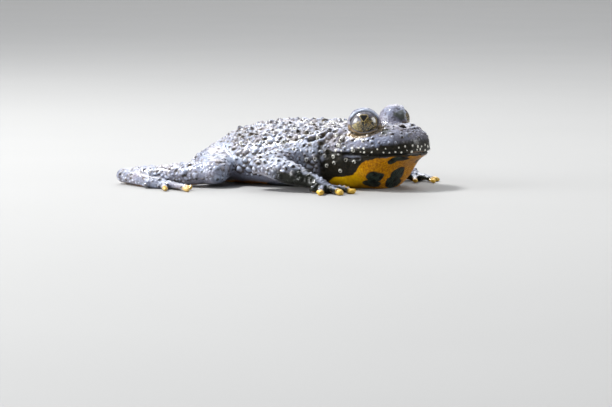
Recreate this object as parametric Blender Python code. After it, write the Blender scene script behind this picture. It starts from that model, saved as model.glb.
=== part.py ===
"""Fire-bellied toad of the yellow-bellied kind, life size, resting on its belly with the head raised.

Sizes are in millimetres and become metres when a mesh is made. +X is forward, +Y is the
animal's left and +Z is up. The floor is z = 0, and the origin lies on the flat of the belly.
A table of (x, size) pairs is read through a smooth curve.
"""
import math
import random

import bmesh
import bpy
from mathutils import Matrix, Vector

MM = 0.001
GAP = 0.3  # clear space kept between neighbouring pieces
RIGHT, LEFT = -1, 1
SIDE_WORDS = {RIGHT: "right", LEFT: "left"}
UP = Vector((0, 0, 1))

# Trunk, from the rump to the neck
RUMP_X, NECK_X = -24.4, 10.0
TRUNK_HALF_WIDTH = ((-24.4, 9.2), (-18, 10.8), (-12, 11.9), (-5, 12.5), (2, 11.5), (6.5, 10.0), (10, 8.9))
TRUNK_TOP = ((-24.4, 3.8), (-21, 5.1), (-17, 7.3), (-12, 9.6), (-5, 10.9), (2, 11.1), (7, 11.2), (10, 11.2))
TRUNK_WIDEST = ((-24.4, 2.2), (-12, 3.3), (-5, 3.7), (2, 4.3), (10, 6.2))
BELLY_Z, RUMP_Z = -0.5, 2.2
RUMP_SIDES_X, RUMP_TOP_X, RUMP_UNDER_X = -13.0, -20.0, -17.0  # where each starts to round off
BACK_ROUNDNESS, BELLY_ROUNDNESS = 2.15, 2.7  # 2 is an ellipse, and more is squarer
TRUNK_STATIONS, TRUNK_SIDES = 26, 34

# Head: the upper part carries the upper jaw, and the mouth is the cut above the lower jaw
SNOUT_X, CHIN_X = 23.7, 23.1
SNOUT_Z, MOUTH_Z = 7.6, 6.35
HEAD_HALF_WIDTH = ((10, 8.9), (13, 8.6), (16, 8.4), (20, 8.1), (23.7, 7.9))
HEAD_TOP = ((10, 11.2), (13, 11.0), (16, 11.0), (20, 11.3), (23.7, 11.3))
SNOUT_SIDES_X, SNOUT_TOP_X, SNOUT_LIP_X = 14.8, 17.0, 22.0
THROAT_BOTTOM = (
    (10, -0.4), (14, -0.5), (16.8, -0.4), (17.9, 0.6), (18.6, 2.0), (19.6, 3.6), (21.2, 4.9), (23.1, 5.5)
)
CHIN_SIDES_X, CHIN_UNDER_X = 14.2, 21.7
HEAD_ROUNDNESS, THROAT_ROUNDNESS, SNOUT_BLUNTNESS = 2.35, 2.1, 2.3
LIP_HEIGHT, LIP_TUCK, JAW_LIP_SHARE = 0.7, 0.3, 0.35
JAW_INSET = 0.35
HEAD_STATIONS, HEAD_ARC = 20, 25

# Eyes
EYE_X, EYE_Y, EYE_Z = 14.8, 4.9, 11.35
EYEBALL_RADIUS, SOCKET_RADIUS, LID_RADIUS = 2.4, 2.6, 2.85
EYE_FORWARD, EYE_UP = math.radians(40), math.radians(8)
LID_OPENING_HALF_WIDTH, LID_OPENING_HALF_HEIGHT = 2.3, 1.85

# Nostrils
NOSTRIL_X, NOSTRIL_Y, NOSTRIL_Z = 20.9, 1.9, 10.6
NOSTRIL_RADIUS, NOSTRIL_DEPTH = 0.38, 0.7
NOSTRIL_LEAN = (0.35, 0.75)  # forward and outward, for 1 up

# Limb joints of each side, as (x, distance from the midline, z)
ARM_JOINTS = {
    RIGHT: ((5.8, 6.6, 5.8), (0.8, 15.6, 4.3), (10.6, 14.4, 1.9)),
    LEFT: ((5.8, 6.6, 5.8), (1.8, 15.4, 4.2), (11.2, 13.2, 1.9)),
}
FINGER_TIPS = {
    RIGHT: ((15.4, 11.0), (17.8, 13.0), (17.4, 16.0), (14.8, 18.2)),
    LEFT: ((16.2, 9.4), (18.9, 11.2), (17.6, 13.9), (14.2, 16.0)),
}
LEG_JOINTS = {
    RIGHT: ((-16.2, 4.6, 3.9), (-8.6, 16.8, 2.6), (-25.2, 20.8, 1.4), (-18.0, 23.6, 1.0)),
    LEFT: ((-16.2, 4.6, 3.9), (-8.0, 17.1, 2.6), (-24.6, 20.8, 1.4), (-17.6, 23.8, 1.0)),
}
TOE_TIPS = {
    RIGHT: ((-14.4, 21.9), (-11.6, 22.2), (-8.8, 23.6), (-7.4, 26.2), (-11.0, 27.6)),
    LEFT: ((-14.0, 22.0), (-11.2, 22.4), (-8.4, 23.8), (-7.0, 26.5), (-10.7, 27.8)),
}

# Limb radii from root to end, the lift of each limb's middle, and its height as a share of its width
UPPER_ARM_RADII, UPPER_ARM_LIFT = (2.6, 2.5, 2.1), 0.3
FOREARM_RADII, FOREARM_LIFT = (2.0, 2.35, 1.5), 0.1
THIGH_RADII, THIGH_LIFT = (3.4, 3.4, 2.7), 0.3
SHANK_RADII, SHANK_LIFT = (2.4, 2.4, 1.7), -0.2
TARSUS_RADII, TARSUS_LIFT = (1.5, 1.45, 1.35), 0.0
LIMB_FLATNESS, PALM_FLATNESS, DIGIT_FLATNESS = 0.82, 0.6, 0.85
TUBE_END_ANGLES = (40, 72)  # of the rings that round off a tube's ends

# Hands and feet
PALM_LENGTH, PALM_RADII, FINGER_RADII = 2.6, (1.5, 1.9, 1.7), (0.85, 0.62, 0.66)
SOLE_LENGTH, SOLE_RADII, TOE_RADII = 2.6, (1.4, 1.9, 1.8), (0.85, 0.62, 0.58)
PALM_Z = 0.85
DIGIT_SINK = 0.05  # how deep a digit's tip presses into the floor
KNUCKLE_PLACE, KNUCKLE_LIFT = 0.45, 0.25
WEB_BOTTOM, WEB_THICKNESS = 0.1, 0.55
WEB_REACH, WEB_HOLLOW = 0.66, 0.7  # shares of the toes' length

# Warts
WART_SEED = 7
WART_HEIGHT, WART_SPACING, WART_CLEARANCE = 0.62, 1.12, 1.0
TRUNK_WARTS, TRUNK_WART_RADII = 90, (0.55, 0.95)
TRUNK_WART_PLACES = ((-22.3, 8.4), (math.radians(9), math.radians(171)))
LIMB_WART_RADII = (0.5, 0.75)
LIMB_WART_PLACES = ((0.3, 0.72), (math.radians(30), math.radians(150)))
LIMB_WARTS = {"upper_arm": 5, "forearm": 7, "thigh": 8, "shank": 10}

# Colours, as (red, green, blue), and roughness
BACK = ((0.20, 0.19, 0.22), 0.42)
CROWN = ((0.18, 0.16, 0.18), 0.42)
THROAT = ((0.62, 0.30, 0.02), 0.38)
ARM = ((0.24, 0.21, 0.21), 0.42)
LEG = ((0.30, 0.29, 0.32), 0.42)
HAND = ((0.38, 0.30, 0.20), 0.40)
IRIS = ((0.10, 0.07, 0.03), 0.08)


def curve(rows, x):
    """The value at x of a smooth curve through rows of (place, value)."""
    if x <= rows[0][0]:
        return rows[0][1]
    if x >= rows[-1][0]:
        return rows[-1][1]
    i = next(k for k in range(len(rows) - 1) if x <= rows[k + 1][0])
    (x0, v0), (x1, v1) = rows[i], rows[i + 1]
    before, after = rows[max(i - 1, 0)], rows[min(i + 2, len(rows) - 1)]
    slope0 = (v1 - before[1]) / (x1 - before[0])
    slope1 = (after[1] - v0) / (after[0] - x0)
    run, t = x1 - x0, (x - x0) / (x1 - x0)
    return (
        v0 * (2 * t**3 - 3 * t**2 + 1)
        + v1 * (3 * t**2 - 2 * t**3)
        + slope0 * run * (t**3 - 2 * t**2 + t)
        + slope1 * run * (t**3 - t**2)
    )


def taper(x, start, tip, bluntness=2.0):
    """1 up to start, then falling along a round end to 0 at tip."""
    t = min(max((x - start) / (tip - start), 0.0), 1.0)
    return math.sqrt(1 - t**bluntness)


def blend(a, b, share):
    return a + (b - a) * share


def bulge(angle, roundness):
    """(cosine, sine) of a superellipse at an angle."""
    c, s = math.cos(angle), math.sin(angle)
    return math.copysign(abs(c) ** (2 / roundness), c), math.copysign(abs(s) ** (2 / roundness), s)


def round_stations(start, tip, count):
    """Places from start towards tip, closer together near the tip, and stopping just short of it."""
    shares = [k / count for k in range(count)] + [1 - 0.4 / count]
    return [blend(start, tip, math.sin(0.5 * math.pi * share)) for share in shares]


def turn(sides):
    return [2 * math.pi * k / sides for k in range(sides)]


def trunk_point(x, angle, grow=0.0):
    """A point of the trunk's skin: angle 0 is the left side and a quarter turn is the back."""
    tip = RUMP_X - grow
    half_width = curve(TRUNK_HALF_WIDTH, x) * taper(x, RUMP_SIDES_X, tip) + grow
    top = blend(RUMP_Z, curve(TRUNK_TOP, x), taper(x, RUMP_TOP_X, tip)) + grow
    bottom = blend(RUMP_Z, BELLY_Z, taper(x, RUMP_UNDER_X, tip)) - grow
    widest = curve(TRUNK_WIDEST, x)
    across, up = bulge(angle, BACK_ROUNDNESS if math.sin(angle) > 0 else BELLY_ROUNDNESS)
    return Vector((x, half_width * across, widest + up * (top - widest if up > 0 else widest - bottom)))


def head_ring(x):
    """The upper head's outline at x: from the left lip over the roof to the right lip."""
    half_width = curve(HEAD_HALF_WIDTH, x) * taper(x, SNOUT_SIDES_X, SNOUT_X, SNOUT_BLUNTNESS)
    top = blend(SNOUT_Z, curve(HEAD_TOP, x), taper(x, SNOUT_TOP_X, SNOUT_X, SNOUT_BLUNTNESS))
    front = taper(x, SNOUT_LIP_X, SNOUT_X)
    lip = blend(SNOUT_Z, MOUTH_Z + GAP / 2, front)
    cheek = lip + LIP_HEIGHT * front
    inside = max(half_width - LIP_TUCK, 0.5 * half_width)
    points = [Vector((x, inside, lip))]
    for k in range(HEAD_ARC):
        across, up = bulge(math.pi * k / (HEAD_ARC - 1), HEAD_ROUNDNESS)
        points.append(Vector((x, half_width * across, blend(cheek, top, max(up, 0.0)))))
    return points + [Vector((x, -inside, lip))]


def jaw_ring(x):
    """The lower jaw's outline at x: from the right lip under the throat to the left lip."""
    half_width = (curve(HEAD_HALF_WIDTH, x) - JAW_INSET) * taper(x, CHIN_SIDES_X, CHIN_X, SNOUT_BLUNTNESS)
    lip = MOUTH_Z - GAP / 2
    front = taper(x, CHIN_UNDER_X, CHIN_X)
    bottom = blend(lip, curve(THROAT_BOTTOM, x), front)
    cheek = lip - JAW_LIP_SHARE * LIP_HEIGHT * front
    inside = max(half_width - LIP_TUCK, 0.5 * half_width)
    points = [Vector((x, -inside, lip))]
    for k in range(HEAD_ARC):
        across, down = bulge(math.pi * k / (HEAD_ARC - 1), THROAT_ROUNDNESS)
        points.append(Vector((x, -half_width * across, blend(cheek, bottom, max(down, 0.0)))))
    return points + [Vector((x, inside, lip))]


def new_object(name, shape):
    """An object in the scene from a finished bmesh."""
    bmesh.ops.recalc_face_normals(shape, faces=shape.faces)
    mesh = bpy.data.meshes.new(name)
    shape.to_mesh(mesh)
    shape.free()
    obj = bpy.data.objects.new(name, mesh)
    bpy.context.scene.collection.objects.link(obj)
    return obj


def loft(name, rings):
    """A closed solid with one skin through the rings and a flat face at each end."""
    shape = bmesh.new()
    loops = [[shape.verts.new(point * MM) for point in ring] for ring in rings]
    for a, b in zip(loops, loops[1:]):
        for k in range(len(a)):
            after = (k + 1) % len(a)
            shape.faces.new((a[k], a[after], b[after], b[k]))
    shape.faces.new(loops[0])
    shape.faces.new(loops[-1])
    return new_object(name, shape)


def smooth_path(points, radii, steps):
    """(point, radius) pairs along a smooth curve through the points."""
    axes = [[(k, point[axis]) for k, point in enumerate(points)] for axis in range(3)]
    spread = (len(points) - 1) / (len(radii) - 1)
    widths = [(k * spread, radius) for k, radius in enumerate(radii)]
    places = [(len(points) - 1) * k / steps for k in range(steps + 1)]
    return [(Vector([curve(axis, t) for axis in axes]), curve(widths, t)) for t in places]


def frames(path):
    """(along, across, above) at each point of a path, with across level."""
    last = len(path) - 1
    found = []
    for k in range(last + 1):
        along = (path[min(k + 1, last)][0] - path[max(k - 1, 0)][0]).normalized()
        across = along.cross(UP).normalized()
        found.append((along, across, across.cross(along)))
    return found


def tube(name, points, radii, flatness=1.0, sides=12, steps=6, grow=0.0):
    """A limb: a round-ended tube along a smooth curve, lower than it is wide where flatness is under 1."""
    path = smooth_path(points, radii, steps)
    axes = frames(path)
    stations = [(k, 0.0, radius + grow) for k, (_, radius) in enumerate(path)]
    for angle in TUBE_END_ANGLES:
        reach, size = math.sin(math.radians(angle)), math.cos(math.radians(angle))
        first, last = path[0][1] + grow, path[-1][1] + grow
        stations = [(0, -first * reach, first * size)] + stations + [(steps, last * reach, last * size)]
    rings = []
    for k, shift, radius in stations:
        along, across, above = axes[k]
        centre = path[k][0] + along * shift
        rings.append([
            centre + radius * (across * math.cos(a) + above * flatness * math.sin(a)) for a in turn(sides)
        ])
    return loft(name, rings)


def ball(name, centre, radius, rings=10):
    shape = bmesh.new()
    bmesh.ops.create_uvsphere(shape, u_segments=2 * rings, v_segments=rings, radius=radius * MM)
    bmesh.ops.translate(shape, verts=shape.verts, vec=centre * MM)
    return new_object(name, shape)


def cone(name, base_radius, top_radius, height, matrix, segments):
    """A cone or cylinder standing on the origin along +Z, then moved by a matrix in millimetres."""
    shape = bmesh.new()
    bmesh.ops.create_cone(
        shape, segments=segments, radius1=base_radius, radius2=top_radius, depth=height, cap_ends=True
    )
    bmesh.ops.translate(shape, verts=shape.verts, vec=(0, 0, height / 2))
    bmesh.ops.transform(shape, matrix=Matrix.Scale(MM, 4) @ matrix, verts=shape.verts)
    return new_object(name, shape)


def combine(target, others, operation):
    """Applies one Boolean of target with closed meshes, then removes them."""
    operands = bpy.data.collections.new("operands")
    for other in others:
        operands.objects.link(other)
    step = target.modifiers.new("combine", "BOOLEAN")
    step.operation = operation
    step.solver = "EXACT"
    step.operand_type = "COLLECTION"
    step.collection = operands
    graph = bpy.context.evaluated_depsgraph_get()
    result = bpy.data.meshes.new_from_object(target.evaluated_get(graph))
    target.modifiers.clear()
    target.data = result
    for other in others:
        bpy.data.objects.remove(other)
    bpy.data.collections.remove(operands)
    keep_largest(target)
    return target


def keep_largest(obj):
    """Drops every closed surface of the object but the largest."""
    shape = bmesh.new()
    shape.from_mesh(obj.data)
    left, shells = set(shape.verts), []
    while left:
        shell, front = set(), [left.pop()]
        while front:
            vert = front.pop()
            shell.add(vert)
            fresh = {edge.other_vert(vert) for edge in vert.link_edges} & left
            left -= fresh
            front.extend(fresh)
        shells.append(shell)
    largest = max(shells, key=len)
    scraps = [vert for shell in shells if shell is not largest for vert in shell]
    bmesh.ops.delete(shape, geom=scraps, context="VERTS")
    shape.to_mesh(obj.data)
    shape.free()


def wart(place, outward, radius, spin):
    """A low faceted dome, sunk to its middle in the skin at place."""
    shape = bmesh.new()
    bmesh.ops.create_icosphere(shape, subdivisions=1, radius=1)
    stand = outward.to_track_quat("Z", "Y").to_matrix().to_4x4() @ Matrix.Rotation(spin, 4, "Z")
    size = Matrix.Diagonal((radius * MM, radius * MM, radius * WART_HEIGHT * MM, 1))
    bmesh.ops.transform(shape, matrix=Matrix.Translation(place * MM) @ stand @ size, verts=shape.verts)
    return new_object("wart", shape)


def scatter(surface, ranges, count, radii, draw, shunned=()):
    """Warts on a surface given as a function of two numbers, at random places clear of each other."""
    placed, warts = [], []
    for _ in range(40 * count):
        if len(warts) == count:
            break
        u, v = (draw.uniform(low, high) for low, high in ranges)
        radius = blend(*radii, draw.random() ** 1.5)
        place = surface(u, v)
        crowded = any((place - p).length < WART_SPACING * (radius + r) for p, r in placed)
        if crowded or any((place - p).length < radius + r + WART_CLEARANCE for p, r in shunned):
            continue
        outward = (surface(u + 0.01, v) - place).cross(surface(u, v + 0.01) - place).normalized()
        placed.append((place, radius))
        warts.append(wart(place, outward, radius, draw.uniform(0, math.pi)))
    return warts


def limb_paths(side):
    """(points, radii) of each limb part, from its root joint to its end."""
    arm = [Vector((x, side * y, z)) for x, y, z in ARM_JOINTS[side]]
    leg = [Vector((x, side * y, z)) for x, y, z in LEG_JOINTS[side]]

    def part(a, b, lift, radii):
        return (a, (a + b) / 2 + lift * UP, b), radii

    return {
        "upper_arm": part(arm[0], arm[1], UPPER_ARM_LIFT, UPPER_ARM_RADII),
        "forearm": part(arm[1], arm[2], FOREARM_LIFT, FOREARM_RADII),
        "thigh": part(leg[0], leg[1], THIGH_LIFT, THIGH_RADII),
        "shank": part(leg[1], leg[2], SHANK_LIFT, SHANK_RADII),
        "tarsus": part(leg[2], leg[3], TARSUS_LIFT, TARSUS_RADII),
    }


def make_trunk(draw):
    """The trunk, with warts on the back except where the limbs begin."""
    stations = round_stations(NECK_X - GAP / 2, RUMP_X, TRUNK_STATIONS)
    trunk = loft("torso", [[trunk_point(x, a) for a in turn(TRUNK_SIDES)] for x in stations])
    roots = [limb_paths(side)[word] for side in SIDE_WORDS for word in ("upper_arm", "thigh")]
    covered = [spot for root in roots for spot in smooth_path(*root, 12)]
    warts = scatter(trunk_point, TRUNK_WART_PLACES, TRUNK_WARTS, TRUNK_WART_RADII, draw, covered)
    return combine(trunk, warts, "UNION")


def trunk_cutter():
    """The trunk with the clear space that the limbs keep to it."""
    stations = round_stations(SNOUT_SIDES_X, RUMP_X - GAP, TRUNK_STATIONS)
    return loft("trunk_cutter", [[trunk_point(x, a, GAP) for a in turn(TRUNK_SIDES)] for x in stations])


def eye_centre(side):
    return Vector((EYE_X, side * EYE_Y, EYE_Z))


def eye_matrix(side):
    """Places +Z along the eye's line of sight, with +X level."""
    level = math.cos(EYE_UP)
    axis = Vector((math.sin(EYE_FORWARD) * level, side * math.cos(EYE_FORWARD) * level, math.sin(EYE_UP)))
    across = UP.cross(axis).normalized()
    turned = Matrix((across, axis.cross(across), axis)).transposed().to_4x4()
    return Matrix.Translation(eye_centre(side)) @ turned


def lid_opening(side):
    """The cutter between the lids: an elliptic bar along the line of sight."""
    size = Matrix.Diagonal((LID_OPENING_HALF_WIDTH, LID_OPENING_HALF_HEIGHT, 1, 1))
    return cone("lid_opening", 1, 1, LID_RADIUS + 1, eye_matrix(side) @ size, 18)


def nostril(side):
    """The cutter of a nostril: a small cone set into the top of the snout."""
    forward, outward = NOSTRIL_LEAN
    axis = Vector((forward, side * outward, 1)).normalized()
    bottom = Vector((NOSTRIL_X, side * NOSTRIL_Y, NOSTRIL_Z)) - NOSTRIL_DEPTH * axis
    stand = Matrix.Translation(bottom) @ axis.to_track_quat("Z", "X").to_matrix().to_4x4()
    return cone("nostril", 0.3 * NOSTRIL_RADIUS, NOSTRIL_RADIUS, 2 * NOSTRIL_DEPTH, stand, 8)


def make_head():
    """The upper head with the eyelids, an open socket for each eye, and the nostrils."""
    head = loft("head", [head_ring(x) for x in round_stations(NECK_X + GAP / 2, SNOUT_X, HEAD_STATIONS)])
    combine(head, [ball("lid", eye_centre(side), LID_RADIUS) for side in SIDE_WORDS], "UNION")
    for side in SIDE_WORDS:
        combine(head, [ball("socket", eye_centre(side), SOCKET_RADIUS), lid_opening(side)], "DIFFERENCE")
        combine(head, [nostril(side)], "DIFFERENCE")
    return head


def make_jaw():
    return loft("lower_jaw", [jaw_ring(x) for x in round_stations(NECK_X + GAP / 2, CHIN_X, HEAD_STATIONS)])


def limb_surface(points, radii):
    """A limb's skin as a function of the place along it and the angle round it."""
    path = smooth_path(points, radii, 32)
    axes = frames(path)

    def surface(place, angle):
        k = min(int(place * 32), 31)
        share = place * 32 - k
        centre = path[k][0].lerp(path[k + 1][0], share)
        radius = blend(path[k][1], path[k + 1][1], share)
        _, across, above = axes[k]
        return centre + radius * (across * math.cos(angle) + above * LIMB_FLATNESS * math.sin(angle))

    return surface


def limb(word, side, draw):
    """A warty limb part under its node name."""
    points, radii = limb_paths(side)[word]
    part = tube(f"{word}_{SIDE_WORDS[side]}", points, radii, LIMB_FLATNESS)
    warts = scatter(limb_surface(points, radii), LIMB_WART_PLACES, LIMB_WARTS[word], LIMB_WART_RADII, draw)
    return combine(part, warts, "UNION")


def clear_of(part, word, side):
    """Cuts a limb part back from the smooth form of the one before it."""
    return combine(part, [tube("cutter", *limb_paths(side)[word], LIMB_FLATNESS, grow=GAP)], "DIFFERENCE")


def fan(name, side, root, tips, length, palm_radii, digit_radii):
    """A palm or sole from root towards the middle of the tips, and (start, end, solid) of each digit."""
    ends = [Vector((x, side * y, digit_radii[-1] * DIGIT_FLATNESS - DIGIT_SINK)) for x, y in tips]
    middle = sum(ends, Vector()) / len(ends)
    forward = Vector((middle.x - root.x, middle.y - root.y, 0)).normalized()
    outward = side * forward.cross(UP)
    palm_end = Vector((root.x, root.y, PALM_Z)) + forward * length
    palm = tube(name, (root, (root + palm_end) / 2, palm_end), palm_radii, PALM_FLATNESS, 10, 4)
    digits = []
    for k, end in enumerate(ends):
        place = k / (len(ends) - 1) - 0.5
        start = palm_end + outward * place * 1.9 * palm_radii[-1] - forward * (0.7 + abs(place))
        knuckle = start.lerp(end, KNUCKLE_PLACE) + KNUCKLE_LIFT * UP
        digits.append((start, end, tube("digit", (start, knuckle, end), digit_radii, DIGIT_FLATNESS, 8, 4)))
    return palm, digits


def web(toe_a, toe_b):
    """A flat web between two toes, with a hollow front edge."""
    root = (toe_a[0] + toe_b[0]) / 2
    a, b = root.lerp(toe_a[1], WEB_REACH), root.lerp(toe_b[1], WEB_REACH)
    hollow = root.lerp((a + b) / 2, WEB_HOLLOW)
    corners = [root, a, a.lerp(hollow, 0.6), hollow, b.lerp(hollow, 0.6), b]
    shape = bmesh.new()
    under = shape.faces.new([shape.verts.new(Vector((p.x, p.y, WEB_BOTTOM)) * MM) for p in corners])
    raised = bmesh.ops.extrude_face_region(shape, geom=[under])["geom"]
    top = [part for part in raised if isinstance(part, bmesh.types.BMVert)]
    bmesh.ops.translate(shape, verts=top, vec=WEB_THICKNESS * MM * UP)
    return new_object("web", shape)


def make_arm(side, draw):
    upper = combine(limb("upper_arm", side, draw), [trunk_cutter()], "DIFFERENCE")
    fore = clear_of(limb("forearm", side, draw), "upper_arm", side)
    combine(fore, [trunk_cutter()], "DIFFERENCE")
    wrist = limb_paths(side)["forearm"][0][-1]
    name = "hand_" + SIDE_WORDS[side]
    hand, fingers = fan(name, side, wrist, FINGER_TIPS[side], PALM_LENGTH, PALM_RADII, FINGER_RADII)
    combine(hand, [solid for _, _, solid in fingers], "UNION")
    return upper, fore, clear_of(hand, "forearm", side)


def make_leg(side, draw):
    thigh = combine(limb("thigh", side, draw), [trunk_cutter()], "DIFFERENCE")
    shank = clear_of(limb("shank", side, draw), "thigh", side)
    tarsus = tube("tarsus", *limb_paths(side)["tarsus"], LIMB_FLATNESS, 10, 5)
    sole = limb_paths(side)["tarsus"][0][-1]
    name = "foot_" + SIDE_WORDS[side]
    foot, toes = fan(name, side, sole, TOE_TIPS[side], SOLE_LENGTH, SOLE_RADII, TOE_RADII)
    webs = [web(a, b) for a, b in zip(toes, toes[1:])]
    combine(foot, [tarsus] + [solid for _, _, solid in toes] + webs, "UNION")
    return thigh, shank, clear_of(foot, "shank", side)


def floor_block():
    """The cutter that leaves a flat where the toad rests."""
    size = 3 * abs(RUMP_X)
    shape = bmesh.new()
    bmesh.ops.create_cube(shape, size=2 * size * MM)
    bmesh.ops.translate(shape, verts=shape.verts, vec=-size * MM * UP)
    return new_object("floor_block", shape)


def settle(node, look, anchor, holder):
    """Gives a finished piece its finish, moves its origin to its anchor and hangs it on the holder."""
    colour, roughness = look
    material = bpy.data.materials.new(node.name)
    material.use_nodes = True
    shader = material.node_tree.nodes["Principled BSDF"]
    shader.inputs["Base Color"].default_value = (*colour, 1)
    shader.inputs["Roughness"].default_value = roughness
    node.data.materials.clear()
    node.data.materials.append(material)
    node.data.shade_smooth()
    node.data.set_sharp_from_angle(angle=math.radians(40))
    node.data.transform(Matrix.Translation(-anchor * MM))
    node.location = anchor * MM
    node.parent = holder


def make_toad():
    draw = random.Random(WART_SEED)
    holder = bpy.data.objects.new("toad", None)
    bpy.context.scene.collection.objects.link(holder)
    neck = Vector((NECK_X, 0, MOUTH_Z))
    pieces = [(make_trunk(draw), BACK, Vector()), (make_head(), CROWN, neck), (make_jaw(), THROAT, neck)]
    for side in SIDE_WORDS:
        joints = {word: path[0] for word, path in limb_paths(side).items()}
        upper, fore, hand = make_arm(side, draw)
        pieces += [(upper, ARM, joints["upper_arm"][0]), (fore, ARM, joints["forearm"][0])]
        pieces += [(hand, HAND, joints["forearm"][-1])]
        thigh, shank, foot = make_leg(side, draw)
        pieces += [(thigh, LEG, joints["thigh"][0]), (shank, LEG, joints["shank"][0])]
        pieces += [(foot, HAND, joints["shank"][-1])]
    for node, _, _ in pieces:
        combine(node, [floor_block()], "DIFFERENCE")
    for side, word in SIDE_WORDS.items():
        pieces.append((ball("eye_" + word, eye_centre(side), EYEBALL_RADIUS), IRIS, eye_centre(side)))
    for node, look, anchor in pieces:
        settle(node, look, anchor, holder)


for old in list(bpy.data.objects):
    bpy.data.objects.remove(old)
make_toad()
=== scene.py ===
"""Looks of the fire-bellied toad: one wet, warty skin and two eyes, on a pale floor in soft studio light.

The skin repeats the solids' named sizes, joins their forms into one closed body, and adds the warts,
folds, lips and eyelids in mesh code. It works in millimetres and is scaled to metres at the end.
The first two numbers of ease say where a feature starts and where it is full.
"""
import math

import bmesh
import bpy
import numpy as np
from mathutils import Matrix, Vector
from mathutils.kdtree import KDTree

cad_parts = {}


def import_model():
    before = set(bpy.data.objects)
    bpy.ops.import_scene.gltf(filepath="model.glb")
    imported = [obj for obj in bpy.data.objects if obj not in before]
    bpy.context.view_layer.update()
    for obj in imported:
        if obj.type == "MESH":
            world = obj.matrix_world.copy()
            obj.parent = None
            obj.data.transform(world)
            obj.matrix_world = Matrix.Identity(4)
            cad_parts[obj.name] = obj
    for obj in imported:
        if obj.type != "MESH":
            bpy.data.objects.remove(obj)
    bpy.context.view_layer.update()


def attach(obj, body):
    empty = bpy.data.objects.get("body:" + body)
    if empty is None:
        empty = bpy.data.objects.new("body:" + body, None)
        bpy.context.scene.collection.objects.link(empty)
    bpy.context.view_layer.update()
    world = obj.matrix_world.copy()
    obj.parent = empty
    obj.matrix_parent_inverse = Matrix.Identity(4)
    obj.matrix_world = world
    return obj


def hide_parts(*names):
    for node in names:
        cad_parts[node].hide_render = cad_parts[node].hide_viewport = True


def srgb(red, green, blue):
    """A screen colour of 0 to 255 as the linear colour that shaders take."""
    parts = [c / 255 for c in (red, green, blue)]
    return (*(part / 12.92 if part <= 10 / 255 else ((part + 0.055) / 1.055) ** 2.4 for part in parts), 1.0)


MM = 0.001
RIGHT, LEFT = -1, 1
SIDE_WORDS = {RIGHT: "right", LEFT: "left"}
UP = Vector((0, 0, 1))

# Trunk and head, as in the solids
RUMP_X, NECK_X = -24.4, 10.0
TRUNK_HALF_WIDTH = ((-24.4, 9.2), (-18, 10.8), (-12, 11.9), (-5, 12.5), (2, 11.5), (6.5, 10.0), (10, 8.9))
TRUNK_TOP = ((-24.4, 3.8), (-21, 5.1), (-17, 7.3), (-12, 9.6), (-5, 10.9), (2, 11.1), (7, 11.2), (10, 11.2))
TRUNK_WIDEST = ((-24.4, 2.2), (-12, 3.3), (-5, 3.7), (2, 4.3), (10, 6.2))
BELLY_Z, RUMP_Z = -0.5, 2.2
RUMP_SIDES_X, RUMP_TOP_X, RUMP_UNDER_X = -13.0, -20.0, -17.0
BACK_ROUNDNESS, BELLY_ROUNDNESS = 2.15, 2.7
SNOUT_X, CHIN_X = 23.7, 23.1
SNOUT_Z, MOUTH_Z = 7.6, 6.35
HEAD_HALF_WIDTH = ((10, 8.9), (13, 8.6), (16, 8.4), (20, 8.1), (23.7, 7.9))
HEAD_TOP = ((10, 11.2), (13, 11.0), (16, 11.0), (20, 11.3), (23.7, 11.3))
SNOUT_SIDES_X, SNOUT_TOP_X, SNOUT_LIP_X = 14.8, 17.0, 22.0
THROAT_BOTTOM = (
    (10, -0.4), (14, -0.5), (16.8, -0.4), (17.9, 0.6), (18.6, 2.0), (19.6, 3.6), (21.2, 4.9), (23.1, 5.5)
)
CHIN_SIDES_X, CHIN_UNDER_X = 14.2, 21.7
HEAD_ROUNDNESS, THROAT_ROUNDNESS, SNOUT_BLUNTNESS = 2.35, 2.1, 2.3
LIP_HEIGHT, JAW_INSET, LIP_OVERLAP, LIP_SHARE = 0.7, 0.35, 0.3, 0.9
FORM_OVERLAP = 3  # how far trunk and head run into each other
TRUNK_STATIONS, TRUNK_SIDES, HEAD_STATIONS, HEAD_ARC = 60, 96, 44, 48

# Eyes and nostrils
EYE_CENTRE = (14.8, 4.9, 11.35)
EYEBALL_RADIUS, LID_RADIUS = 2.6, 2.9
OPENING_FORWARD, OPENING_UP = math.radians(38), math.radians(14)
OPENING_HALF_WIDTH, OPENING_HALF_HEIGHT = 2.52, 2.0
EYE_POCKET = 0.45  # how far the skin lies inside the eyeball's surface
PUPIL_FORWARD, PUPIL_UP = math.radians(32), math.radians(27)
PUPIL = ((-0.48, 0.34), (0.48, 0.34), (0.0, -0.44), (-0.48, 0.34))
NOSTRIL, NOSTRIL_AXIS, NOSTRIL_STRETCH = (20.6, 1.5, 10.75), (0.45, 0.75, 0.5), (1.7, 1.7, 0.9)
NOSTRIL_DEPTH, NOSTRIL_RIM = 0.75, 0.14

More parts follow.
